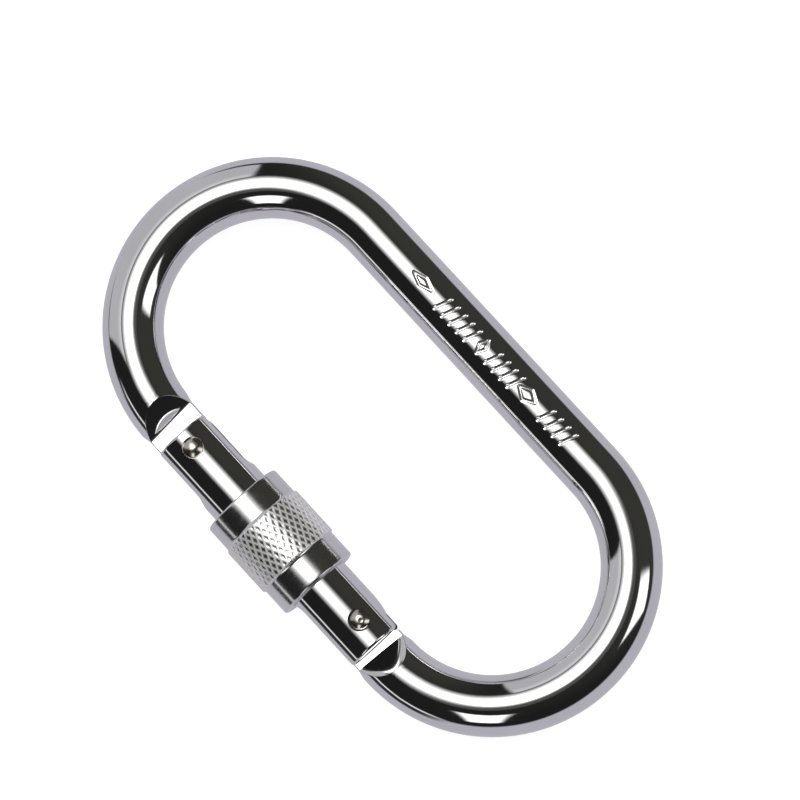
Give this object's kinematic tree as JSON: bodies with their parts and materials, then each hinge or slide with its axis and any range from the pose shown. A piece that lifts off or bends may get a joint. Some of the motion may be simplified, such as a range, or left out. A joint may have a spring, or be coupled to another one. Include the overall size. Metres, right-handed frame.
{
  "type": "screw-lock carabiner",
  "caption": "Oval steel carabiner with a sprung, hooked gate and a knurled lock sleeve that slides over the gate's nose.",
  "frame": {"origin": "under the middle of the part's box, at the lowest level of the lock sleeve, with the carabiner lying flat", "axes": "+X along the long side towards the gate's hinge end, +Y from the gate to the spine, +Z square to the eye"},
  "size_m": [0.108, 0.0576, 0.015],
  "materials": {
    "body_steel": "bright polished bar",
    "gate_steel": "bright polished, with finely milled slots",
    "sleeve_steel": "satin bright, diamond knurled band",
    "rivet_steel": "satin, with a warm tint",
    "spring_steel": "drawn wire"
  },
  "bodies": {
    "body": {"carabiner_body": "body_steel"},
    "gate_assembly": {"gate": "gate_steel", "latch_rivet": "rivet_steel", "hinge_rivet": "rivet_steel", "gate_spring": "spring_steel"},
    "sleeve": {"locking_sleeve": "sleeve_steel"},
    "pusher": {"spring_pusher": "spring_steel"}
  },
  "joints": [
    {"name": "gate_hinge", "type": "hinge", "parent": "body", "child": "gate_assembly", "pos_m": [0.0187, -0.02015, 0.0075], "axis": [0, 0, -1], "range_deg": [0, 25], "stiffness_Nm_per_rad": 0.25, "springref_deg": -40.11},
    {"name": "sleeve_travel", "type": "slide", "parent": "gate_assembly", "child": "sleeve", "axis": [-1, 0, 0], "range_m": [0, 0.0158]},
    {"name": "pusher_travel", "type": "slide", "parent": "gate_assembly", "child": "pusher", "axis": [-1, 0, 0], "range_m": [0, 0.0005], "deforming": ["gate_spring"]}
  ],
  "couplings": [
    {"joint": "pusher_travel", "follows": "gate_hinge", "m_per_rad": 0.00092}
  ]
}
